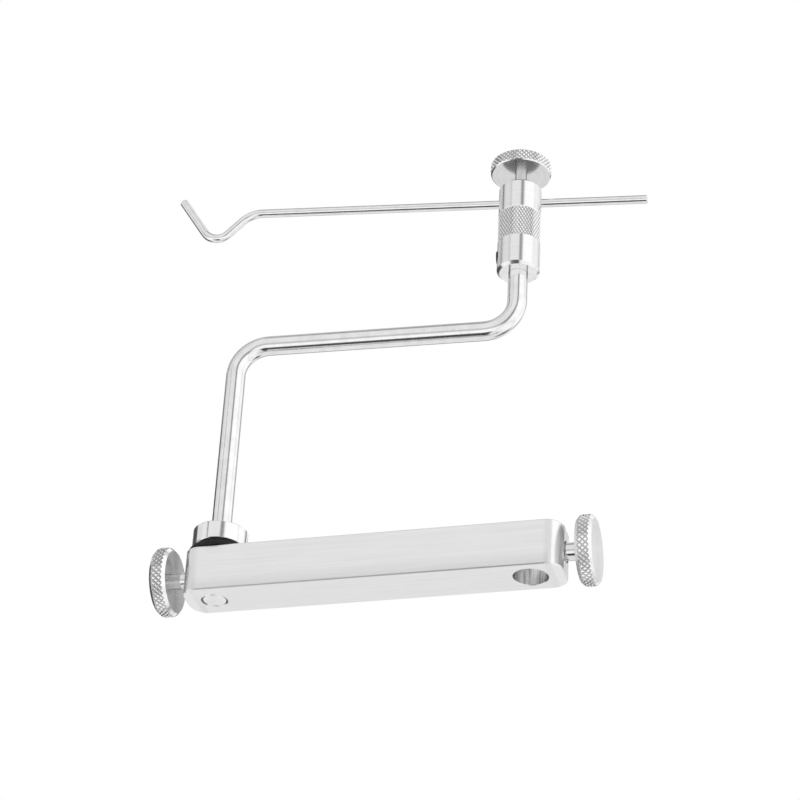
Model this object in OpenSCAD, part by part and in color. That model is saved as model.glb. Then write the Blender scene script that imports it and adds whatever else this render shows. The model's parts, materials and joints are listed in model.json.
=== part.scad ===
// Bobbin hanger for a fly-tying vise: a clamp bar on the vise stem carries a cranked
// arm, and a barrel on top of the arm holds a thin hooked rod that the bobbin lies in.
// Lengths are in millimetres. The origin is on the axis of the stem bore, half way up
// the bar. +X runs along the bar away from the arm, +Y to the back, +Z up the stem.

/* [Clamp bar] */
// Width of the bar, front to back
bar_w = 15; // [13:0.5:20]
// Height of the bar
bar_h = 13.6; // [12:0.1:18]
// Distance between the stem bore and the arm bore
bore_spacing = 90; // [60:1:130]
// From the stem bore's axis to the bar's stem end
stem_end = 9.7; // [8:0.1:14]
// From the arm bore's axis to the bar's arm end
arm_end = 8.2; // [7:0.1:14]
// Radius of the bar's upright corners
bar_corner_r = 4.75; // [1.5:0.25:5.5]
// Broken edge round the bar's top and underside
bar_edge = 0.3; // [0.1:0.1:0.8]

/* [Stem bore] */
// Diameter of the vise stem
stem_d = 9.525; // [7.925:0.1:10.525]
// Radial clearance round the stem
stem_clearance = 0.0875; // [0.05:0.0125:0.3]
// Broken edge at the mouths of the stem bore
stem_bore_edge = 0.15; // [0.1:0.05:0.5]

/* [Arm] */
// Diameter of the arm rod
arm_d = 5.7; // [4.5:0.1:6.7]
// Sideways reach of the arm, from its lower leg to its upper leg
arm_reach = 83; // [50:1:130]
// Height of the arm's level run above the bar's top
arm_rise = 69.5; // [45:0.1:110]
// Centreline radius of the arm's two bends
arm_bend_r = 9.5; // [7:0.5:12]
// Height of the barrel's underside above the level run
barrel_lift = 19.1; // [15:0.1:40]
// Swing of the arm about its lower leg, as set
arm_yaw = 2.9; // [-45:0.1:45]
// Diameter of the arm's foot, the thicker end that turns in the bar
arm_foot_d = 6.8; // [5.8:0.1:8]
// Height of the foot's end above the bar's underside
arm_foot_recess = 0.1; // [0.1:0.1:2]
// Broken edge round the foot's end
arm_foot_edge = 0.2; // [0.1:0.1:0.6]
// Broken edge at the arm's upper end
arm_edge = 0.4; // [0.2:0.1:1]
// Broken edge at the mouths of the arm bore
arm_bore_edge = 0.2; // [0.1:0.1:1]

/* [Collar and washer] */
// Diameter of the collar on the arm
collar_d = 15.5; // [11:0.1:20]
// Height of the collar
collar_h = 6.5; // [4:0.1:10]
// Chamfer round the collar's lower edge
collar_foot_edge = 1.3; // [0.2:0.1:1.5]
// Broken edge round the collar's top
collar_top_edge = 0.25; // [0.1:0.05:0.8]
// Diameter of the rubber washer under the collar
washer_d = 17; // [11:0.1:20]
// Thickness of the rubber washer
washer_t = 1.2; // [0.8:0.1:4]
// Broken edges of the washer's rim
washer_edge = 0.2; // [0.1:0.1:0.3]
// Radial room between the washer and the arm rod
washer_clearance = 0.2; // [0.1:0.05:0.5]

/* [Barrel] */
// Diameter of the barrel
barrel_d = 12.6; // [11:0.1:16]
// Height of the barrel
barrel_h = 30.1; // [26:0.1:45]
// Chamfer at both ends of the barrel
barrel_edge = 0.8; // [0.3:0.1:1.2]
// Depth of the socket for the arm's upper end
socket_depth = 15; // [10:0.5:18]
// Height of the cross hole's axis below the barrel's top
cross_drop = 5.1; // [4:0.1:7]
// Height of the set screw's axis above the barrel's underside
set_screw_lift = 5.9; // [4:0.1:8]
// Diameter of the set screw
set_screw_d = 4; // [3:0.5:5]
// How far the set screw stands out of the barrel
set_screw_proud = 0.2; // [0.1:0.1:1]
// Width across flats of the set screw's hexagon socket
set_screw_hex = 2; // [1.3:0.1:2.5]
// Depth of the hexagon socket
set_screw_hex_depth = 1.8; // [1:0.1:2.2]

/* [Hook rod] */
// Diameter of the hook rod
hook_d = 2.5; // [2:0.1:3]
// Length of the plain tail, from the barrel's axis to the cut end
hook_tail = 37.8; // [15:0.1:60]
// Length from the barrel's axis to the start of the dip
hook_reach = 81.4; // [50:0.1:120]
// Slope of the ramp that goes down into the dip
ramp_angle = 47.5; // [35:0.5:55]
// Length of the ramp between the corners of the rod's line
ramp_length = 15.4; // [13:0.1:20]
// Slope of the limb that rises to the tip
limb_angle = 57; // [45:1:65]
// Length of the limb from the bottom corner of the rod's line to the tip
limb_length = 19.9; // [14:0.1:28]
// Centreline radius of the bend at the top of the ramp
ramp_bend_r = 8.5; // [5:0.5:10]
// Centreline radius of the bend at the bottom of the dip
dip_bend_r = 4.4; // [3.5:0.1:5]
// Swing of the hook rod against the bar, as set
hook_yaw = 6.9; // [-45:0.1:45]
// Broken edge at both ends of the hook rod
hook_edge = 0.3; // [0.1:0.1:0.6]

/* [Bar thumb screws] */
// Thread diameter of the two screws in the bar
bar_thread_d = 5; // [4:0.5:6]
// Diameter of their knobs
bar_knob_d = 19.8; // [14:0.1:26]
// Thickness of their knobs
bar_knob_t = 4.7; // [4:0.1:7]
// Chamfer at both rims of their knobs
bar_knob_edge = 1.1; // [0.3:0.1:1.2]
// Free length of the stem screw between the bar and its knob
stem_screw_gap = 3.9; // [2.5:0.1:8]
// Free length of the arm screw between the bar and its knob
arm_screw_gap = 4; // [2.5:0.1:8]
// Countersink where each screw enters the bar
bar_screw_edge = 0.6; // [0.2:0.1:0.8]

/* [Barrel thumb screw] */
// Thread diameter of the screw on top of the barrel
top_thread_d = 3.5; // [2.5:0.5:4]
// Diameter of its knob
top_knob_d = 18.2; // [12:0.1:24]
// Thickness of its knob
top_knob_t = 3.7; // [3:0.1:6]
// Chamfer at both rims of its knob
top_knob_edge = 0.5; // [0.3:0.1:1]
// Free length of the screw between the barrel and its knob
top_screw_gap = 5.0; // [4:0.1:9]

/* [Fits] */
// Radial clearance of the rods in their bores
run_clearance = 0.05; // [0.02:0.01:0.1]
// Radial clearance of the threads in their holes
thread_clearance = 0.05; // [0.02:0.01:0.1]
// Radial clearance of a pressed joint
press_clearance = 0.01; // [0.005:0.005:0.02]
// Gap where a tip or a face bears on another piece
bear_gap = 0.05; // [0.02:0.01:0.1]
// Gap between the stem bore's wall and the tip of the stem screw
stem_tip_back = 0.2; // [0.1:0.1:1]

/* [Hidden] */
$fn = 96;
stem_bore_d = stem_d + 2 * stem_clearance;
arm_bore_d = arm_foot_d + 2 * run_clearance;
bar_top = bar_h / 2;
collar_z = bar_top + washer_t + bear_gap;
level_z = bar_top + arm_rise;
barrel_z = level_z + barrel_lift;
barrel_top = barrel_z + barrel_h;
socket_end = barrel_z + socket_depth;
arm_top = socket_end - bear_gap;
arm_foot = -bar_top + arm_foot_recess;
hook_z = barrel_top - cross_drop;
set_screw_z = barrel_z + set_screw_lift;
// Depth of the stud's blind seat in its knob, as a share of the knob's thickness
seat_share = 0.7;
// Broken edge at the tip of every screw
tip_edge = 0.4;
// Extra length that carries a cutting tool clear of a face
past = 1;

// Round bar along +Z, with a broken edge at its near end, its far end or both
module rod(d, length, near_edge = 0, far_edge = 0) {
    rotate_extrude()
        polygon([
            [0, 0],
            [d / 2 - near_edge, 0],
            if (near_edge > 0) [d / 2, near_edge],
            if (far_edge > 0) [d / 2, length - far_edge],
            [d / 2 - far_edge, length],
            [0, length],
        ]);
}

// A bent rod is walked along its own line, always heading along +X.
// Straight stretch from the origin; the children carry on from its end
module straight(d, length, near_edge = 0, far_edge = 0) {
    rotate([0, 90, 0])
        rod(d, length, near_edge, far_edge);
    translate([length, 0, 0])
        children();
}

// Bend of centreline radius r that turns towards +Z or, with a negative sweep, towards -Z;
// the children carry on from its end
module turn(d, r, sweep) {
    side = sign(sweep);
    translate([0, 0, side * r]) {
        rotate([90, 0, 0])
            mirror([0, side < 0 ? 1 : 0, 0])
                rotate([0, 0, -90])
                    rotate_extrude(angle = abs(sweep))
                        translate([r, 0])
                            circle(d = d);
        rotate([0, -sweep, 0])
            translate([0, 0, -side * r])
                children();
    }
}

// Hole through "length" along +Z whose two mouths are countersunk
module edged_hole(d, length, edge) {
    translate([0, 0, -past])
        cylinder(d = d, h = length + 2 * past);
    for (end = [0, 1])
        translate([0, 0, end * length])
            mirror([0, 0, end])
                translate([0, 0, -past])
                    cylinder(d1 = d + 2 * (edge + past), d2 = d, h = edge + past);
}

// Block with rounded upright corners and a broken edge round its top and underside
module eased_block(x0, x1, w, h, r, edge) {
    module section(half) {
        polygon([
            [-half, -h / 2 + edge],
            [-half + edge, -h / 2],
            [half - edge, -h / 2],
            [half, -h / 2 + edge],
            [half, h / 2 - edge],
            [half - edge, h / 2],
            [-half + edge, h / 2],
            [-half, h / 2 - edge],
        ]);
    }
    translate([x0 + r, 0, 0])
        rotate([90, 0, 90])
            linear_extrude(x1 - x0 - 2 * r)
                section(w / 2);
    translate([(x0 + x1) / 2, w / 2 - r, 0])
        rotate([90, 0, 0])
            linear_extrude(w - 2 * r)
                section((x1 - x0) / 2);
    for (x = [x0 + r, x1 - r], y = [-w / 2 + r, w / 2 - r])
        translate([x, y, -h / 2])
            rod(2 * r, h, edge, edge);
}

// Knob along +Z, its inner face at the origin, with a blind seat for the stud
module knob(d, t, edge, thread_d) {
    difference() {
        rod(d, t, edge, edge);
        translate([0, 0, -past])
            cylinder(d = thread_d + 2 * press_clearance, h = past + t * seat_share);
    }
}

// Stud along +Z, from its tip to the knob's inner face and on into the knob's seat
module stud(thread_d, length, knob_t) {
    rod(thread_d, length + knob_t * seat_share - bear_gap, tip_edge, 0);
}

// Screw places: each puts +Z along the screw, out of the part, with the tip at the origin
module at_stem_screw() {
    translate([stem_bore_d / 2 + stem_tip_back, 0, 0])
        rotate([0, 90, 0])
            children();
}

module at_arm_screw() {
    translate([-bore_spacing - arm_foot_d / 2 - bear_gap, 0, 0])
        rotate([0, -90, 0])
            children();
}

module at_rod_screw() {
    at_barrel()
        translate([0, 0, hook_z + hook_d / 2 + bear_gap])
            children();
}

stem_screw_length = stem_end + stem_screw_gap - stem_bore_d / 2 - stem_tip_back;
arm_screw_length = arm_end + arm_screw_gap - arm_foot_d / 2 - bear_gap;
rod_screw_length = cross_drop + top_screw_gap - hook_d / 2 - bear_gap;

// Places that follow the arm: its lower leg, and the barrel's axis
module at_arm() {
    translate([-bore_spacing, 0, 0])
        rotate([0, 0, arm_yaw])
            children();
}

module at_barrel() {
    at_arm()
        translate([arm_reach, 0, 0])
            rotate([0, 0, hook_yaw - arm_yaw])
                children();
}

module clamp_bar() {
    screw_hole_d = bar_thread_d + 2 * thread_clearance;
    color("gainsboro")
        difference() {
            eased_block(-bore_spacing - arm_end, stem_end, bar_w, bar_h, bar_corner_r, bar_edge);
            translate([0, 0, -bar_top])
                edged_hole(stem_bore_d, bar_h, stem_bore_edge);
            translate([-bore_spacing, 0, -bar_top])
                edged_hole(arm_bore_d, bar_h, arm_bore_edge);
            rotate([0, 90, 0])
                cylinder(d = screw_hole_d, h = stem_end + past);
            translate([stem_end - bar_screw_edge, 0, 0])
                rotate([0, 90, 0])
                    cylinder(d1 = screw_hole_d, d2 = screw_hole_d + 2 * (bar_screw_edge + past),
                             h = bar_screw_edge + past);
            translate([-bore_spacing, 0, 0])
                rotate([0, -90, 0])
                    cylinder(d = screw_hole_d, h = arm_end + past);
            translate([-bore_spacing - arm_end + bar_screw_edge, 0, 0])
                rotate([0, -90, 0])
                    cylinder(d1 = screw_hole_d, d2 = screw_hole_d + 2 * (bar_screw_edge + past),
                             h = bar_screw_edge + past);
        }
}

module friction_washer() {
    color("#202020")
        translate([-bore_spacing, 0, bar_top])
            difference() {
                rod(washer_d, washer_t, washer_edge, washer_edge);
                translate([0, 0, -past])
                    cylinder(d = arm_d + 2 * washer_clearance, h = washer_t + 2 * past);
            }
}

module stem_screw_stud() {
    color("silver")
        at_stem_screw()
            stud(bar_thread_d, stem_screw_length, bar_knob_t);
}

module stem_screw_knob() {
    color("lightgray")
        at_stem_screw()
            translate([0, 0, stem_screw_length])
                knob(bar_knob_d, bar_knob_t, bar_knob_edge, bar_thread_d);
}

module arm_screw_stud() {
    color("silver")
        at_arm_screw()
            stud(bar_thread_d, arm_screw_length, bar_knob_t);
}

module arm_screw_knob() {
    color("lightgray")
        at_arm_screw()
            translate([0, 0, arm_screw_length])
                knob(bar_knob_d, bar_knob_t, bar_knob_edge, bar_thread_d);
}

module arm_rod() {
    foot_length = bar_top - bear_gap - arm_foot;
    leg_start = foot_length / 2;
    lower_leg = level_z - arm_bend_r - arm_foot - leg_start;
    level_run = arm_reach - 2 * arm_bend_r;
    upper_leg = arm_top - level_z - arm_bend_r;
    color("silver")
        at_arm()
            translate([0, 0, arm_foot])
                rotate([0, -90, 0]) {
                    straight(arm_foot_d, foot_length, near_edge = arm_foot_edge);
                    translate([leg_start, 0, 0])
                        straight(arm_d, lower_leg)
                            turn(arm_d, arm_bend_r, -90)
                                straight(arm_d, level_run)
                                    turn(arm_d, arm_bend_r, 90)
                                        straight(arm_d, upper_leg, far_edge = arm_edge);
                }
}

module arm_collar() {
    color("silver")
        translate([-bore_spacing, 0, collar_z])
            difference() {
                rod(collar_d, collar_h, collar_foot_edge, collar_top_edge);
                translate([0, 0, -past])
                    cylinder(d = arm_d + 2 * press_clearance, h = collar_h + 2 * past);
            }
}

module rod_barrel() {
    socket_d = arm_d + 2 * run_clearance;
    color("gainsboro")
        at_barrel()
            difference() {
                translate([0, 0, barrel_z])
                    rod(barrel_d, barrel_h, barrel_edge, barrel_edge);
                translate([0, 0, barrel_z - past])
                    cylinder(d = socket_d, h = socket_depth + past);
                translate([-barrel_d / 2 - past, 0, hook_z])
                    rotate([0, 90, 0])
                        cylinder(d = hook_d + 2 * run_clearance, h = barrel_d + 2 * past);
                translate([0, 0, hook_z])
                    cylinder(d = top_thread_d + 2 * thread_clearance, h = cross_drop + past);
                translate([0, 0, set_screw_z])
                    rotate([0, -90, 0])
                        cylinder(d = set_screw_d + 2 * thread_clearance, h = barrel_d / 2 + past);
            }
}

module barrel_set_screw() {
    inner = arm_d / 2 + bear_gap;
    length = barrel_d / 2 + set_screw_proud - inner;
    color("#303030")
        at_barrel()
            translate([-inner, 0, set_screw_z])
                rotate([0, -90, 0])
                    difference() {
                        rod(set_screw_d, length, tip_edge, tip_edge / 2);
                        translate([0, 0, length - set_screw_hex_depth])
                            cylinder(d = set_screw_hex / cos(30), h = set_screw_hex_depth + past, $fn = 6);
                    }
}

module rod_screw_stud() {
    color("silver")
        at_rod_screw()
            stud(top_thread_d, rod_screw_length, top_knob_t);
}

module rod_screw_knob() {
    color("lightgray")
        at_rod_screw()
            translate([0, 0, rod_screw_length])
                knob(top_knob_d, top_knob_t, top_knob_edge, top_thread_d);
}

module hook_rod() {
    ramp_tangent = ramp_bend_r * tan(ramp_angle / 2);
    dip_sweep = ramp_angle + limb_angle;
    dip_tangent = dip_bend_r * tan(dip_sweep / 2);
    color("silver")
        at_barrel()
            translate([hook_tail, 0, hook_z])
                rotate([0, 0, 180])
                    straight(hook_d, hook_tail + hook_reach - ramp_tangent, near_edge = hook_edge)
                        turn(hook_d, ramp_bend_r, -ramp_angle)
                            straight(hook_d, ramp_length - ramp_tangent - dip_tangent)
                                turn(hook_d, dip_bend_r, dip_sweep)
                                    straight(hook_d, limb_length - dip_tangent, far_edge = hook_edge);
}

clamp_bar();
friction_washer();
stem_screw_stud();
stem_screw_knob();
arm_screw_stud();
arm_screw_knob();
arm_rod();
arm_collar();
rod_barrel();
barrel_set_screw();
rod_screw_stud();
rod_screw_knob();
hook_rod();
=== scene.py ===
import json
import math

import bpy
from mathutils import Matrix, Vector


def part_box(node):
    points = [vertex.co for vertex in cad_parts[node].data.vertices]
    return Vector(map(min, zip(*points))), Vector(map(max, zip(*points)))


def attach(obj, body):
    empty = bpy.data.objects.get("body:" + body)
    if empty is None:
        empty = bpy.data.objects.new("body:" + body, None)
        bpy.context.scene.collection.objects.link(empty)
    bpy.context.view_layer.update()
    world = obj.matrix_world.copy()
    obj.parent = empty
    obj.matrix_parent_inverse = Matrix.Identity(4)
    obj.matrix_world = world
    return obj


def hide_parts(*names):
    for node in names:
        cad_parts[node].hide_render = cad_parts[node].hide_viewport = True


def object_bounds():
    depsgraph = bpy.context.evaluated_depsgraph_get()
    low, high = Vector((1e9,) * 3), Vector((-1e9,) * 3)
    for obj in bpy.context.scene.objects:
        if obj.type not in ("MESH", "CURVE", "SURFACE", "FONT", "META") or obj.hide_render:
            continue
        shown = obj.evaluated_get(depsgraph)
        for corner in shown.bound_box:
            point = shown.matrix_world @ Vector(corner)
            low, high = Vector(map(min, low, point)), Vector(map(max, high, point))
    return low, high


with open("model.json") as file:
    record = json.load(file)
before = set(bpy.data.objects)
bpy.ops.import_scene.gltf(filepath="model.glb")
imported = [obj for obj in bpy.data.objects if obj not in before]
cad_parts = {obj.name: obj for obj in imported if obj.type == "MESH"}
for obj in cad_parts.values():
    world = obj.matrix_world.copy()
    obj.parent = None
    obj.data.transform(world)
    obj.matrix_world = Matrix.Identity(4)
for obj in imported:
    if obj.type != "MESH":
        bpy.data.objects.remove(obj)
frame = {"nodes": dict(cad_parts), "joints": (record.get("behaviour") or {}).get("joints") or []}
cad_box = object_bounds()
nodes = frame["nodes"]
scene = bpy.context.scene
MM = 0.001

# Camera of the photograph, in millimetres and degrees, for a square frame of 800 pixels
CAM_POS = (141.068, -620.414, -334.133)
CAM_YAW, CAM_PITCH, CAM_ROLL = -16.2345, 30.9429, -3.2639
CAM_FOCAL_PX = 2636.27
FRAME_PX = 800
SENSOR = 36.0
CLIP_M = (0.01, 20)

# Directions in which the thumb screws point, from their tips to their knobs
STEM_SIDE, ARM_SIDE, UP = (1, 0, 0), (-1, 0, 0), (0, 0, 1)

# Knurls: diamonds round the rim, mesh steps in each, depth, height of the flat crest, height over width
BAR_KNURL = {"count": 40, "steps": 8, "depth": 0.34, "crest": 0.95, "lean": 1.0}
TOP_KNURL = {"count": 42, "steps": 8, "depth": 0.22, "crest": 0.8, "lean": 1.0}
BARREL_KNURL = {"count": 41, "steps": 6, "depth": 0.22, "crest": 0.85, "lean": 1.64}

# Knobs: chamfer, radius of the blind seat for the stud, and the seat's share of the thickness
BAR_KNOB_EDGE, TOP_KNOB_EDGE = 1.1, 0.5
BAR_SEAT_R, TOP_SEAT_R = 2.51, 1.76
SEAT_SHARE = 0.7

# Studs: thread pitch, length of the plain neck beside the knob, length inside the knob
BAR_PITCH, TOP_PITCH = 0.8, 0.6
BAR_NECK, TOP_NECK = 3.4, 5.1
BAR_SEAT, TOP_SEAT = 3.24, 2.54

# Threads: depth and run-out as shares of the pitch, and how far a crest is filled out to a flat
THREAD_DEPTH_SHARE, THREAD_FADE_SHARE = 0.55, 0.6
THREAD_FILL = 1.25
# The tip's lead: its length, the share of the depth that it starts at, and the inset of the tip's face
THREAD_TIP, THREAD_TIP_START, THREAD_TIP_INSET = 0.4, 0.1, 0.1
# Mesh points round a thread, and rings per turn
THREAD_COLUMNS, THREAD_ROWS_PER_TURN = 48, 10
# Short first stretch of the neck, so that the rest of it shades as a true cylinder
NECK_LEAD = 0.05

# Barrel: chamfer, heights of the knurled band, arm socket, screw hole and side holes
BARREL_EDGE = 0.8
BARREL_BAND = (10.3, 20.1)
SOCKET_R, SOCKET_DEPTH = 2.9, 15.0
SCREW_HOLE_R = 1.8
CROSS_HOLE_R, CROSS_DROP = 1.3, 5.1
SET_HOLE_R, SET_HOLE_Z = 2.05, 5.9
CUT_PAST = 2
CUT_COLUMNS = 64

# Parts of a turned mesh that count as its round wall: share of the radius, and how far a face looks out
WALL_SHARE, WALL_FACING = 0.86, 0.5

# Spans along the bar over which a mask fades in towards its stem end and its arm end
ROUND_END = (4.6, 5.6), (-94.2, -93.2)
END_TIP = (6.4, 7.4), (-96.0, -95.0)
END_FACE = (8.8, 9.0), (-97.5, -97.3)
# Spans for its long sides and edges, by distance from the middle and by height, over which painted
# shade darkens the low sides and the low edges
SIDE_WALL, SIDE_LOW = (7.25, 7.35), (-6.6, -2.0)
EDGE_RIM, EDGE_LOW = (13.96, 14.00), (-6.0, -5.0)
# Spans for the stem bore's wall with its painted reflections and the painted highlight on its right,
# the ring beside the arm's foot underneath with its painted shade, and the screw mouths with their
# painted shade
STEM_BORE, STEM_BORE_HIGHLIGHT_RIGHT = (4.88, 4.98), (-1.0, 2.5)
ARM_BORE_X = -90.0
FOOT_RING, FOOT_SIDES, UNDERSIDE = (3.75, 3.9), (2.5, 3.1), (-6.5, -6.4)
SCREW_MOUTH = (3.05, 3.2)

# Places of the materials on a turned piece
PLAIN, KNURL, EDGE, FACE = 0, 1, 2, 3


# Shader nodes

class Tree:
    """Short way to add and wire shader nodes."""

    def __init__(self, block):
        block.use_nodes = True
        self.tree = block.node_tree
        self.tree.nodes.clear()

    def add(self, kind, settings=None, **inputs):
        n = self.tree.nodes.new(kind)
        for key, value in (settings or {}).items():
            setattr(n, key, value)
        for key, value in inputs.items():
            self.set(n, key, value)
        return n

    def set(self, n, key, value):
        """Sets or links an input, given by its name or as i and its number."""
        numbered = key[0] == "i" and key[1:].isdigit()
        socket = n.inputs[int(key[1:]) if numbered else key.replace("_", " ")]
        if isinstance(value, bpy.types.NodeSocket):
            self.tree.links.new(value, socket)
        else:
            socket.default_value = value

    def math(self, op, a, b=0.0):
        return self.add("ShaderNodeMath", {"operation": op}, i0=a, i1=b).outputs[0]

    def step(self, value, low, high, to_low=0.0, to_high=1.0):
        n = self.add("ShaderNodeMapRange", {"interpolation_type": "SMOOTHSTEP"})
        for key, v in (("Value", value), ("From Min", low), ("From Max", high),
                       ("To Min", to_low), ("To Max", to_high)):
            self.set(n, key, v)
        return n.outputs["Result"]

    def mix(self, share, a, b):
        """Mix of two colours, which are the node's inputs 6 and 7, by a share."""
        n = self.add("ShaderNodeMix", {"data_type": "RGBA"}, i0=share, i6=a, i7=b)
        return n.outputs[2]

    def out(self, kind, surface):
        n = self.add(kind)
        self.tree.links.new(surface, n.inputs["Surface"])


def grey(v, warm=0.0):
    return (v * (1 + warm), v, v * (1 - warm), 1.0)


def noise(t, vector, scale, detail=3.0, rough=0.55):
    n = t.add("ShaderNodeTexNoise", Vector=vector, Scale=scale, Detail=detail, Roughness=rough)
    return n.outputs["Fac"]


def stretched(t, vector, scale):
    return t.add("ShaderNodeMapping", Vector=vector, Scale=scale).outputs[0]


def in_mm(t):
    """The piece's own coordinates, in millimetres."""
    obj = t.add("ShaderNodeTexCoord").outputs["Object"]
    return stretched(t, obj, (1 / MM, 1 / MM, 1 / MM))


def round_axis(t, axis):
    """Tangent that runs round an axis."""
    return t.add("ShaderNodeTangent", {"direction_type": "RADIAL", "axis": axis}).outputs[0]


def across(t, a, b):
    """Distance from an axis, from the two coordinates across it."""
    flat = t.add("ShaderNodeCombineXYZ", X=a, Y=b).outputs[0]
    return t.add("ShaderNodeVectorMath", {"operation": "LENGTH"}, i0=flat).outputs["Value"]


def finish_metal(t, color, rough, height, bump, anisotropic=0.0, tangent=None, turn=0.0):
    """Metal shader with its grain in colour, roughness and relief."""
    relief = t.add("ShaderNodeBump", Height=height, Strength=1.0, Distance=bump * MM)
    b = t.add("ShaderNodeBsdfPrincipled", Metallic=1.0, Roughness=rough, Normal=relief.outputs[0],
              Anisotropic=anisotropic)
    t.set(b, "Base Color", color)
    if tangent:
        t.set(b, "Tangent", tangent)
        b.inputs["Anisotropic Rotation"].default_value = turn
    t.out("ShaderNodeOutputMaterial", b.outputs[0])


def at_ends(t, x, stem, arm):
    """1 past the given places at both ends of the bar, 0 between them."""
    return t.math("ADD", t.step(x, *stem), t.step(x, *arm, 1.0, 0.0))


def brushed_aluminium(name):
    """Bar stock: brush lines along X, upright ones on its ends, a bored hole with painted reflections,
    and painted shade in the screw mouths, round the arm's foot and on the low sides and edges.
    """
    m = bpy.data.materials.new(name)
    t = Tree(m)
    p = in_mm(t)
    x, y, z = t.add("ShaderNodeSeparateXYZ", Vector=p).outputs
    abs_y = t.math("ABSOLUTE", y)

    # Masks
    round_end = at_ends(t, x, *ROUND_END)
    tip = at_ends(t, x, *END_TIP)
    # Painted shade on the low part of the long sides
    low_side_shade = t.math("MULTIPLY", t.step(z, *SIDE_LOW, 0.55, 0.0), t.step(abs_y, *SIDE_WALL))
    edge = t.step(t.math("ADD", abs_y, t.math("ABSOLUTE", z)), *EDGE_RIM)
    # Painted shade on the low edges
    low_edge_shade = t.math("MULTIPLY", edge, t.step(z, *EDGE_LOW, 0.6, 0.0))
    # Stem bore's wall, which gets painted reflections
    bore = t.step(across(t, x, y), *STEM_BORE, 1.0, 0.0)
    from_arm = t.math("ABSOLUTE", t.math("SUBTRACT", x, ARM_BORE_X))
    # Painted shade in arcs at the sides of the ring round the arm's foot, on the underside
    ring = t.step(across(t, from_arm, y), *FOOT_RING, 1.0, 0.0)
    foot_shade_arcs = t.math("MULTIPLY", ring, t.step(from_arm, *FOOT_SIDES))
    foot_shade_arcs = t.math("MULTIPLY", foot_shade_arcs, t.step(z, *UNDERSIDE, 0.85, 0.0))
    # Painted shade in the screw mouths where the studs enter the bar's ends
    mouth_shade = t.step(across(t, y, z), *SCREW_MOUTH, 1.0, 0.0)
    mouth_shade = t.math("MULTIPLY", at_ends(t, x, *END_FACE), mouth_shade)

    # Grain
    along = noise(t, stretched(t, p, (0.05, 9.0, 9.0)), 1.0, 4.0, 0.6)
    upright = noise(t, stretched(t, p, (5.0, 5.0, 0.06)), 1.0, 4.0, 0.6)
    lines = t.mix(round_end, along, upright)
    long_lines = noise(t, stretched(t, p, (0.012, 2.2, 2.2)), 1.0, 2.0)
    mottle = noise(t, p, 0.09, 2.0)
    streaks = noise(t, stretched(t, p, (2.2, 2.2, 0.08)), 1.0, 3.0)
    tone = t.math("ADD", t.math("MULTIPLY", lines, 0.7), t.math("MULTIPLY", long_lines, 0.3))

    # Colour
    color = t.mix(t.step(tone, 0.3, 0.7), grey(0.86, 0.002), grey(0.94, 0.002))
    color = t.mix(t.step(mottle, 0.35, 0.7, 0.0, 0.08), color, grey(0.76))
    # Painted shade: the low part of the long sides is darker
    color = t.mix(low_side_shade, color, grey(0.70))
    # Painted shade: the low edges are darker
    color = t.mix(low_edge_shade, color, grey(0.52))
    # Painted reflections: pale and grey streaks on the stem bore's wall
    wall = t.mix(t.step(streaks, 0.35, 0.62), grey(0.55), grey(0.97))
    # Painted highlight: the bore's wall is paler towards its right
    wall = t.mix(t.step(x, *STEM_BORE_HIGHLIGHT_RIGHT), t.mix(0.65, wall, grey(0.97)), wall)
    color = t.mix(bore, color, wall)
    # Painted shade: dark arcs beside the arm's foot
    color = t.mix(foot_shade_arcs, color, grey(0.10))
    # Painted shade: dark screw mouths
    color = t.mix(mouth_shade, color, grey(0.16))

    # Roughness
    rough = t.step(lines, 0.3, 0.7, 0.38, 0.28)
    for mask, more in ((edge, 0.06), (round_end, 0.14), (tip, -0.24), (bore, -0.12)):
        rough = t.math("ADD", rough, t.math("MULTIPLY", mask, more))

    grain = t.mix(round_end, round_axis(t, "X"), round_axis(t, "Z"))
    finish_metal(t, color, rough, tone, 0.008, 0.55, grain)
    return m


def polished_steel(name, low, high, rough, bump):
    """Polished rod or collar with a faint mottle and hairline scratches."""
    m = bpy.data.materials.new(name)
    t = Tree(m)
    p = in_mm(t)
    cloud = noise(t, p, 0.35, 3.0)
    hair = noise(t, stretched(t, p, (3.0, 9.0, 1.2)), 1.0, 4.0, 0.65)
    color = t.mix(t.step(cloud, 0.3, 0.7), grey(low), grey(high))
    finish_metal(t, color, t.step(hair, 0.35, 0.75, rough, rough * 1.9), hair, bump)
    return m


def turned_metal(name, rings_on, low, high, rough, bump, anisotropic):
    """Turned surface: fine tool rings on a face (by radius) or on a wall (by height)."""
    m = bpy.data.materials.new(name)
    t = Tree(m)
    p = in_mm(t)
    x, y, z = t.add("ShaderNodeSeparateXYZ", Vector=p).outputs
    if rings_on == "face":
        line = t.add("ShaderNodeCombineXYZ", X=across(t, x, y), Y=t.math("MULTIPLY", z, 4.0))
    else:
        line = t.add("ShaderNodeCombineXYZ", X=z)
    rings = noise(t, line.outputs[0], 7.0, 3.0, 0.6)
    broad = noise(t, line.outputs[0], 0.9, 2.0)
    cloud = noise(t, p, 0.3, 2.0)
    tone = t.math("ADD", t.math("MULTIPLY", rings, 0.7), t.math("MULTIPLY", broad, 0.3))
    color = t.mix(t.step(tone, 0.35, 0.65), grey(low), grey(high))
    color = t.mix(t.step(cloud, 0.4, 0.75, 0.0, 0.12), color, grey(low * 0.8))
    finish_metal(t, color, t.step(rings, 0.3, 0.7, rough * 1.25, rough * 0.8), rings, bump,
                 anisotropic, round_axis(t, "Z"), 0.25)
    return m


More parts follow.
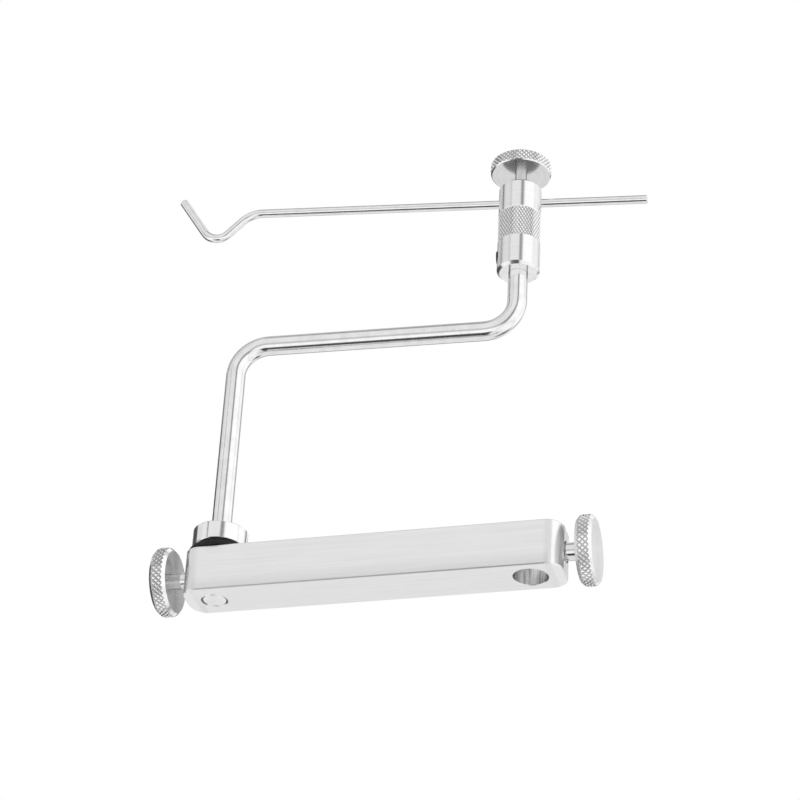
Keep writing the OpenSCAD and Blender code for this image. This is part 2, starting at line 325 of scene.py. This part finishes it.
def knurled_metal(name):
    """Cut knurl: bright crests, and grooves darker than the crests, by the crest height."""
    m = bpy.data.materials.new(name)
    t = Tree(m)
    p = in_mm(t)
    crest = t.add("ShaderNodeAttribute", {"attribute_name": "crest"}).outputs["Fac"]
    grain = noise(t, p, 5.0, 3.0)
    crest_tone = t.math("ADD", crest, t.math("MULTIPLY", t.math("SUBTRACT", grain, 0.5), 0.25))
    # Darker in the grooves and paler on the crests, by the crest height
    color = t.mix(t.step(crest_tone, 0.05, 0.75), grey(0.50), grey(0.98))
    rough = t.step(crest_tone, 0.1, 0.9, 0.24, 0.09)
    finish_metal(t, color, rough, grain, 0.006)
    return m


def black_rubber(name):
    """Dull black rubber with a little dust."""
    m = bpy.data.materials.new(name)
    t = Tree(m)
    p = in_mm(t)
    grain = noise(t, p, 6.0, 4.0, 0.65)
    dust = noise(t, p, 0.8, 3.0)
    color = t.mix(t.step(dust, 0.45, 0.8, 0.0, 0.5), grey(0.010), grey(0.035))
    relief = t.add("ShaderNodeBump", Height=grain, Strength=0.6, Distance=0.03 * MM)
    b = t.add("ShaderNodeBsdfPrincipled", Roughness=t.step(grain, 0.3, 0.7, 0.5, 0.75),
              Normal=relief.outputs[0])
    t.set(b, "Base Color", color)
    b.inputs["Specular IOR Level"].default_value = 0.3
    t.out("ShaderNodeOutputMaterial", b.outputs[0])
    return m


def black_oxide(name):
    """Blackened steel of the set screw."""
    m = bpy.data.materials.new(name)
    t = Tree(m)
    p = in_mm(t)
    grain = noise(t, p, 4.0, 4.0)
    color = t.mix(t.step(grain, 0.35, 0.7), grey(0.012), grey(0.045))
    relief = t.add("ShaderNodeBump", Height=grain, Strength=0.5, Distance=0.01 * MM)
    b = t.add("ShaderNodeBsdfPrincipled", Roughness=t.step(grain, 0.3, 0.7, 0.30, 0.48),
              Normal=relief.outputs[0])
    t.set(b, "Base Color", color)
    t.out("ShaderNodeOutputMaterial", b.outputs[0])
    return m


# Finishes: darkest and palest grey, roughness, depth of the grain, and the pull of turned grooves
MAT = {
    "bar": brushed_aluminium("brushed_aluminium"),
    "rod": polished_steel("polished_rod", 0.82, 0.90, 0.10, 0.002),
    "collar": polished_steel("polished_collar", 0.84, 0.92, 0.09, 0.002),
    "edge": polished_steel("polished_edge", 0.84, 0.92, 0.13, 0.002),
    "barrel": turned_metal("turned_barrel", "wall", 0.84, 0.92, 0.18, 0.004, 0.6),
    "knob": turned_metal("turned_knob", "face", 0.70, 0.84, 0.20, 0.004, 0.90),
    # Painted shade: darker copy of the turned knob face, for the arm knob's inner face beside the bar's
    # end
    "arm_face_shaded": turned_metal("turned_arm_face_shaded", "face", 0.58, 0.74, 0.26, 0.004, 0.90),
    # Painted shade: darker copy of the turned finish for the barrel's top face, which lies in shade
    # under the top knob
    "shaded_top": turned_metal("turned_shaded_top", "face", 0.22, 0.34, 0.34, 0.004, 0.3),
    "face": turned_metal("turned_face", "face", 0.88, 0.95, 0.45, 0.004, 0.3),
    "stud": turned_metal("turned_stud", "wall", 0.76, 0.86, 0.08, 0.002, 0.0),
    "knurl": knurled_metal("knurled_steel"),
    "washer": black_rubber("black_rubber"),
    "set_screw": black_oxide("black_oxide"),
}


# Mesh pieces: every turned piece is built about its own Z axis, in millimetres

def ripple(x):
    """0 at whole numbers, 1 half way between."""
    return 1 - abs(2 * (x % 1.0) - 1)


def crest_at(k, i, j):
    """Height of the knurl, 0 in the grooves and 1 on the crests, at mesh step i, j."""
    a = ripple((i + j) / k["steps"])
    b = ripple((i - j) / k["steps"])
    return min(a, b, k["crest"]) / k["crest"]


class Turned:
    """Rings of points about Z, closed at both ends; each row of faces has its own look."""

    def __init__(self, columns):
        self.n = columns
        self.verts = []
        self.rings = []
        self.faces = []
        self.crest = []
        self.looks = []

    def ring(self, z, radius, crest=1.0):
        """Adds a ring; radius may be a list, and radius 0 is a single point on the axis."""
        start = len(self.verts)
        if radius == 0:
            self.verts.append((0, 0, z))
            self.crest.append(1.0)
            self.rings.append([start] * self.n)
            return
        for i in range(self.n):
            r = radius[i] if isinstance(radius, list) else radius
            a = 2 * math.pi * i / self.n
            self.verts.append((r * math.cos(a), r * math.sin(a), z))
            self.crest.append(crest[i] if isinstance(crest, list) else crest)
        self.rings.append(list(range(start, start + self.n)))

    def join(self, low, high, look=PLAIN, step=None):
        """Faces from ring low to ring high; a knurl's cells are cut along its grooves."""
        p, q = self.rings[low], self.rings[high]
        for i in range(self.n):
            j = (i + 1) % self.n
            quad = [p[i], p[j], q[j], q[i]]
            if step is None:
                parts = [[v for k, v in enumerate(quad) if v not in quad[:k]]]
            elif (i + step) % 2 == 0:
                parts = [quad[:3], [quad[0], *quad[2:]]]
            else:
                parts = [quad[1:], [quad[0], quad[1], quad[3]]]
            for f in parts:
                self.faces.append(f)
                self.looks.append(look)

    def piece(self, name, place, materials, sharp=30):
        """Mesh object of the faces, with its materials, crests and edges sharper than an angle."""
        me = bpy.data.meshes.new(name)
        me.from_pydata([tuple(c * MM for c in v) for v in self.verts], [], self.faces)
        for key in materials:
            me.materials.append(MAT[key])
        for f, look in zip(me.polygons, self.looks):
            f.material_index = look
            f.use_smooth = look != KNURL
        me.set_sharp_from_angle(angle=math.radians(sharp))
        at = me.attributes.new("crest", "FLOAT", "POINT")
        at.data.foreach_set("value", self.crest)
        me.update()
        o = bpy.data.objects.new(name, me)
        scene.collection.objects.link(o)
        o.matrix_world = place
        return o


def axis_place(origin, direction):
    """Matrix that puts local Z along a direction, at a point in metres."""
    turn = Vector(UP).rotation_difference(Vector(direction)).to_matrix().to_4x4()
    return Matrix.Translation(origin) @ turn


def span(node, direction):
    """A turned node's near end in metres, and its length and radius in millimetres."""
    lo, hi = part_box(node)
    d = Vector(direction)
    mid = (lo + hi) / 2
    size = hi - lo
    length = abs(size.dot(d))
    widths = [size[i] for i in range(3) if abs(d[i]) < 0.5]
    return mid - d * length / 2, length / MM, max(widths) / 2 / MM


def knurl_rows(t, k, z0, z1, radius, lid):
    """Knurled rings between two heights; lid(z) is the radius that the chamfers leave."""
    steps = k["steps"]
    row = 2 * math.pi * radius / k["count"] * k["lean"] / steps
    rows = max(2, round((z1 - z0) / row))
    first = len(t.rings)
    for j in range(rows + 1):
        z = z0 + (z1 - z0) * j / rows
        crest = [crest_at(k, i, j) for i in range(t.n)]
        radii = [min(radius - k["depth"] * (1 - c), lid(z)) for c in crest]
        t.ring(z, radii, crest)
    for j in range(rows):
        t.join(first + j, first + j + 1, KNURL, j)


def knob(name, node, body, direction, k, edge, seat_r, inner, inner_edge=EDGE):
    """Thumb screw's knob: turned faces, chamfers and a knurled rim."""
    origin, thick, radius = span(node, direction)
    t = Turned(k["count"] * k["steps"])
    t.ring(thick * SEAT_SHARE, 0)
    t.ring(thick * SEAT_SHARE, seat_r)
    t.ring(0, seat_r)
    t.ring(0, radius - edge)
    t.ring(edge - k["depth"], radius - k["depth"])
    for i in range(4):
        t.join(i, i + 1, inner_edge if i == 3 else PLAIN)
    low = len(t.rings)
    knurl_rows(t, k, edge - k["depth"], thick - edge + k["depth"], radius,
               lambda z: radius - max(0.0, edge - z, z - thick + edge))
    t.join(low - 1, low, inner_edge)
    high = len(t.rings)
    t.ring(thick, radius - edge)
    t.ring(thick, 0)
    t.join(high - 1, high, EDGE)
    t.join(high, high + 1, FACE)
    o = t.piece(name, axis_place(origin, direction), (inner, "knurl", "edge", "face"))
    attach(o, body)
    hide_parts(node)


def stud(name, node, body, direction, pitch, neck, seat):
    """Stud with a cut thread from its tip and a plain neck beside the knob."""
    origin, length, radius = span(node, direction)
    n = THREAD_COLUMNS
    end = length - seat - neck
    depth = pitch * THREAD_DEPTH_SHARE
    t = Turned(n)
    t.ring(0, 0)
    t.ring(0, radius - depth - THREAD_TIP_INSET)
    rows = round(end / pitch * THREAD_ROWS_PER_TURN)
    for j in range(rows + 1):
        z = end * j / rows
        fade = min(1.0, (end - z) / (THREAD_FADE_SHARE * pitch))
        lead = min(1.0, THREAD_TIP_START + z / THREAD_TIP)
        radii = []
        for i in range(n):
            c = min(1.0, THREAD_FILL * ripple(z / pitch - i / n))
            r = radius - depth * (1 - c) * fade
            radii.append(min(r, radius - depth * (1 - lead)))
        t.ring(z, radii)
    t.ring(end + NECK_LEAD, radius)
    t.ring(length, radius)
    t.ring(length, 0)
    for i in range(len(t.rings) - 1):
        t.join(i, i + 1)
    o = t.piece(name, axis_place(origin, direction), ("stud",), sharp=50)
    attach(o, body)
    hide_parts(node)


def cutter(radius, low, high, direction, height):
    """Closed bar that cuts a round side hole at a height of the barrel."""
    t = Turned(CUT_COLUMNS)
    t.ring(low, 0)
    t.ring(low, radius)
    t.ring(high, radius)
    t.ring(high, 0)
    for i in range(3):
        t.join(i, i + 1)
    return t.piece("cutter", axis_place(Vector((0, 0, height * MM)), direction), ("barrel",))


def barrel(name, node, body, along):
    """Barrel with a knurled band, its arm socket, screw hole, cross hole and set screw hole."""
    origin, height, radius = span(node, UP)
    k = BARREL_KNURL
    band_low, band_high = BARREL_BAND
    cross_z = height - CROSS_DROP
    t = Turned(k["count"] * k["steps"])
    t.ring(SOCKET_DEPTH, 0)
    t.ring(SOCKET_DEPTH, SOCKET_R)
    t.ring(0, SOCKET_R)
    t.ring(0, radius - BARREL_EDGE)
    t.ring(BARREL_EDGE, radius)
    t.ring(band_low - k["depth"], radius)
    for i in range(5):
        t.join(i, i + 1, EDGE if i in (2, 3) else PLAIN)
    low = len(t.rings)
    knurl_rows(t, k, band_low, band_high, radius, lambda z: radius)
    t.join(low - 1, low, KNURL)
    high = len(t.rings)
    t.ring(band_high + k["depth"], radius)
    t.ring(height - BARREL_EDGE, radius)
    t.ring(height, radius - BARREL_EDGE)
    t.ring(height, SCREW_HOLE_R)
    t.ring(cross_z, SCREW_HOLE_R)
    t.ring(cross_z, 0)
    t.join(high - 1, high, KNURL)
    for i, look in enumerate((PLAIN, EDGE, FACE, PLAIN, PLAIN), start=high):
        t.join(i, i + 1, look)
    # The top face takes the painted-shade copy of the turned finish
    o = t.piece(name, Matrix.Identity(4), ("barrel", "knurl", "edge", "shaded_top"))
    past = radius + CUT_PAST
    holes = [cutter(CROSS_HOLE_R, -past, past, along, cross_z),
             cutter(SET_HOLE_R, 0.0, past, -Vector(along), SET_HOLE_Z)]
    for h in holes:
        cut = o.modifiers.new("hole", "BOOLEAN")
        cut.operation, cut.solver, cut.object = "DIFFERENCE", "EXACT", h
    bpy.context.view_layer.update()
    cut_barrel = o.evaluated_get(bpy.context.evaluated_depsgraph_get())
    made = bpy.data.meshes.new_from_object(cut_barrel)
    o.modifiers.clear()
    o.data = made
    for h in holes:
        bpy.data.objects.remove(h)
    smooth_wall(made, radius * MM)
    o.matrix_world = Matrix.Translation(origin)
    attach(o, body)
    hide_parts(node)


def smooth_wall(me, radius):
    """True round normals on the wall and the chamfers of a turned mesh, flat ones elsewhere."""
    normals = [None] * len(me.loops)
    for f in me.polygons:
        n = f.normal
        flat = math.sqrt(max(0.0, 1 - n.z * n.z))
        for i in f.loop_indices:
            v = me.vertices[me.loops[i].vertex_index].co
            out = Vector((v.x, v.y, 0))
            side = out.normalized() if out.length > 1e-9 else n
            far = out.length > radius * WALL_SHARE and n.dot(side) > WALL_FACING
            wall = far and f.material_index != KNURL
            normals[i] = (side * flat + Vector((0, 0, n.z))).normalized() if wall else n
    me.normals_split_custom_set([tuple(n) for n in normals])


# Pieces
hook_axis = next(Vector(j["axis"]) for j in frame["joints"] if j["name"] == "hook_slide")
knob("stem_knob_knurled", "stem_screw_knob", "stem_knob", STEM_SIDE, BAR_KNURL, BAR_KNOB_EDGE,
     BAR_SEAT_R, "face", PLAIN)
knob("arm_knob_knurled", "arm_screw_knob", "arm_knob", ARM_SIDE, BAR_KNURL, BAR_KNOB_EDGE,
     BAR_SEAT_R, "arm_face_shaded")
knob("rod_knob_knurled", "rod_screw_knob", "rod_knob", UP, TOP_KNURL, TOP_KNOB_EDGE,
     TOP_SEAT_R, "knob")
stud("stem_stud_threaded", "stem_screw_stud", "stem_screw", STEM_SIDE, BAR_PITCH, BAR_NECK, BAR_SEAT)
stud("arm_stud_threaded", "arm_screw_stud", "arm_screw", ARM_SIDE, BAR_PITCH, BAR_NECK, BAR_SEAT)
stud("rod_stud_threaded", "rod_screw_stud", "rod_screw", UP, TOP_PITCH, TOP_NECK, TOP_SEAT)
barrel("barrel_knurled", "rod_barrel", "barrel", hook_axis)

for node, key in (("clamp_bar", "bar"), ("friction_washer", "washer"), ("arm_rod", "rod"),
                  ("arm_collar", "collar"), ("barrel_set_screw", "set_screw"), ("hook_rod", "rod")):
    o = nodes[node]
    o.data.materials.clear()
    o.data.materials.append(MAT[key])


# Camera
yaw, pitch, roll = (math.radians(a) for a in (CAM_YAW, CAM_PITCH, CAM_ROLL))
forward = Vector((math.sin(yaw) * math.cos(pitch),
                  math.cos(yaw) * math.cos(pitch),
                  math.sin(pitch)))
right = Vector((math.cos(yaw), -math.sin(yaw), 0))
up = right.cross(forward)
tilted_right = right * math.cos(roll) - up * math.sin(roll)
tilted_up = right * math.sin(roll) + up * math.cos(roll)
cam = bpy.data.objects.new("camera", bpy.data.cameras.new("camera"))
scene.collection.objects.link(cam)
cam.matrix_world = Matrix.Translation(Vector(CAM_POS) * MM) @ Matrix(
    (tilted_right, tilted_up, -forward)).transposed().to_4x4()
cam.data.sensor_width = SENSOR
cam.data.lens = CAM_FOCAL_PX / FRAME_PX * SENSOR
cam.data.clip_start, cam.data.clip_end = CLIP_M
scene.camera = cam


# Studio: white to the camera, and pale panels with a few darker strips for the metal to mirror
SKY_GREY = 0.80
# Degrees round (0 is the camera's side, plus is its right), degrees of height, soft edge, grey
PANELS = (
    (-200, 200, -90, -58, 6, 0.86),     # ground, all round
    (100, 200, -58, -12, 8, 0.88),      # low, behind right
    (-200, -100, -58, -12, 8, 0.88),    # low, behind left
    (118, 152, -48, -24, 5, 0.18),      # dark gap low, behind right
    (-152, -118, -48, -10, 6, 0.18),    # dark gap low, behind left
    (-80, 2, 5, 62, 6, 0.88),           # high, front left
    (-104, -56, 32, 66, 2.5, 0.77),     # higher and duller, left
    (-80, 10, -50, -18, 6, 1.08),       # low, front left
    (-110, -66, -52, -24, 6, 1.05),     # low, left
    (14, 104, -57, -24, 5, 1.05),       # low, right
    (-75, 2, -13, 4, 4, 0.60),          # grey strip level with the object, front left
    (20, 78, -20, 66, 5, 1.14),         # tall, front right
    (78, 116, -20, 66, 5, 0.98),        # tall, right
    (78, 124, -20, 31.5, 3, 1.12),      # its brighter lower half
    (81, 84, -8, 31.5, 1, 0.80),        # thin grey strip in it
    (116, 132, 32, 62, 6, 0.80),        # high, right and a little behind
    (124, 133, -20, 32, 4, 0.74),       # under that
    (124, 162, 36, 68, 3, 1.05),        # high, behind right
    (132, 146, -4, 34, 4, 0.22),        # dark strip, behind right
    (147, 164, -4, 40, 3, 1.00),        # pale strip beside it
    (164, 200, -8, 58, 4, 0.34),        # dark backdrop, right half
    (-200, -150, -8, 58, 4, 0.30),      # dark backdrop, left half
    (0, 15, -14, 64, 2.5, 0.33),        # dark strip in front
    (-55, -51, 32, 60, 1.5, 0.52),      # thin grey strip, high, front left
    (-58, -52, 2, 31.5, 1.5, 0.30),     # thin dark strip under it
    (-142, -117, 32, 70, 4, 0.70),      # high, behind left
    (-117, -102, 32.5, 70, 2, 0.10),    # black strip beside it
    (-152, -113, -30, 31.5, 3, 0.08),   # black under both
    (-58, 2, -86, -48, 4, 0.06),        # black below, front left
    (-200, 200, 70, 91, 5, 0.36),       # ceiling
)


def between(t, value, low, high, soft):
    """1 from low to high, with soft ends."""
    return t.math("MULTIPLY", t.step(value, low - soft, low + soft),
                  t.step(value, high - soft, high + soft, 1.0, 0.0))


def along_direction(t, ray, direction):
    """How far a ray points along a direction."""
    n = t.add("ShaderNodeVectorMath", {"operation": "DOT_PRODUCT"}, i0=ray, i1=tuple(direction))
    return n.outputs["Value"]


def studio():
    """World that shows the panels to all but the camera; a later panel lies over an earlier one."""
    world = bpy.data.worlds.new("studio")
    scene.world = world
    t = Tree(world)
    degrees = 180 / math.pi
    ray = t.add("ShaderNodeTexCoord").outputs["Generated"]
    height = t.add("ShaderNodeSeparateXYZ", Vector=ray).outputs[2]
    side = along_direction(t, ray, right)
    near = along_direction(t, ray, (-math.sin(yaw), -math.cos(yaw), 0))
    turn = t.math("MULTIPLY", t.math("ARCTAN2", side, near), degrees)
    rise = t.math("MULTIPLY", t.math("ARCSINE", height), degrees)
    level = grey(SKY_GREY)
    for a0, a1, e0, e1, soft, bright in PANELS:
        mask = t.math("MULTIPLY", between(t, turn, a0, a1, soft), between(t, rise, e0, e1, soft))
        level = t.mix(mask, level, grey(bright))
    camera_ray = t.add("ShaderNodeLightPath").outputs["Is Camera Ray"]
    sky = t.add("ShaderNodeBackground", Color=t.mix(camera_ray, level, grey(1.0)), Strength=1.0)
    t.out("ShaderNodeOutputWorld", sky.outputs[0])


studio()


# Floor: pale, seen only from above, so that the photograph's low camera looks past it, in metres
FLOOR_GREY = 0.93
FLOOR_HALF = 4.0
FLOOR_MIDDLE_X = -0.04
FLOOR_GAP = 0.0005
FLOOR_FADE = (0.12, 0.40)


def floor():
    """Pale ground that fades to white, and is clear from below."""
    m = bpy.data.materials.new("floor")
    t = Tree(m)
    where = t.add("ShaderNodeTexCoord").outputs["Object"]
    far = t.add("ShaderNodeVectorMath", {"operation": "LENGTH"}, i0=where).outputs["Value"]
    pale = t.add("ShaderNodeBsdfDiffuse", Color=grey(FLOOR_GREY))
    white = t.add("ShaderNodeEmission", Color=grey(1.0), Strength=1.0)
    top = t.add("ShaderNodeMixShader", i0=t.step(far, *FLOOR_FADE), i1=pale.outputs[0],
                i2=white.outputs[0])
    clear = t.add("ShaderNodeBsdfTransparent")
    below = t.add("ShaderNodeNewGeometry").outputs["Backfacing"]
    both = t.add("ShaderNodeMixShader", i0=below, i1=top.outputs[0], i2=clear.outputs[0])
    t.out("ShaderNodeOutputMaterial", both.outputs[0])
    me = bpy.data.meshes.new("floor")
    s = FLOOR_HALF
    me.from_pydata([(-s, -s, 0), (s, -s, 0), (s, s, 0), (-s, s, 0)], [], [(0, 1, 2, 3)])
    me.materials.append(m)
    o = bpy.data.objects.new("floor", me)
    scene.collection.objects.link(o)
    o.location = (FLOOR_MIDDLE_X, 0, cad_box[0].z - FLOOR_GAP)
    o.visible_glossy = o.visible_diffuse = o.visible_shadow = o.visible_transmission = False


floor()


# Soft key lamp up on the right, in metres and watts
KEY_SIZE, KEY_POWER = 0.7, 3.0
KEY_PLACE, KEY_AIM = (0.75, -0.75, 0.85), (-0.04, 0, 0.06)
lamp = bpy.data.lights.new("key", "AREA")
lamp.size, lamp.energy = KEY_SIZE, KEY_POWER
key = bpy.data.objects.new("key", lamp)
scene.collection.objects.link(key)
key.location = KEY_PLACE
key.rotation_mode = "QUATERNION"
key.rotation_quaternion = (Vector(KEY_AIM) - key.location).to_track_quat("-Z", "Y")
key.visible_camera = key.visible_glossy = False

scene.view_settings.view_transform = "Standard"
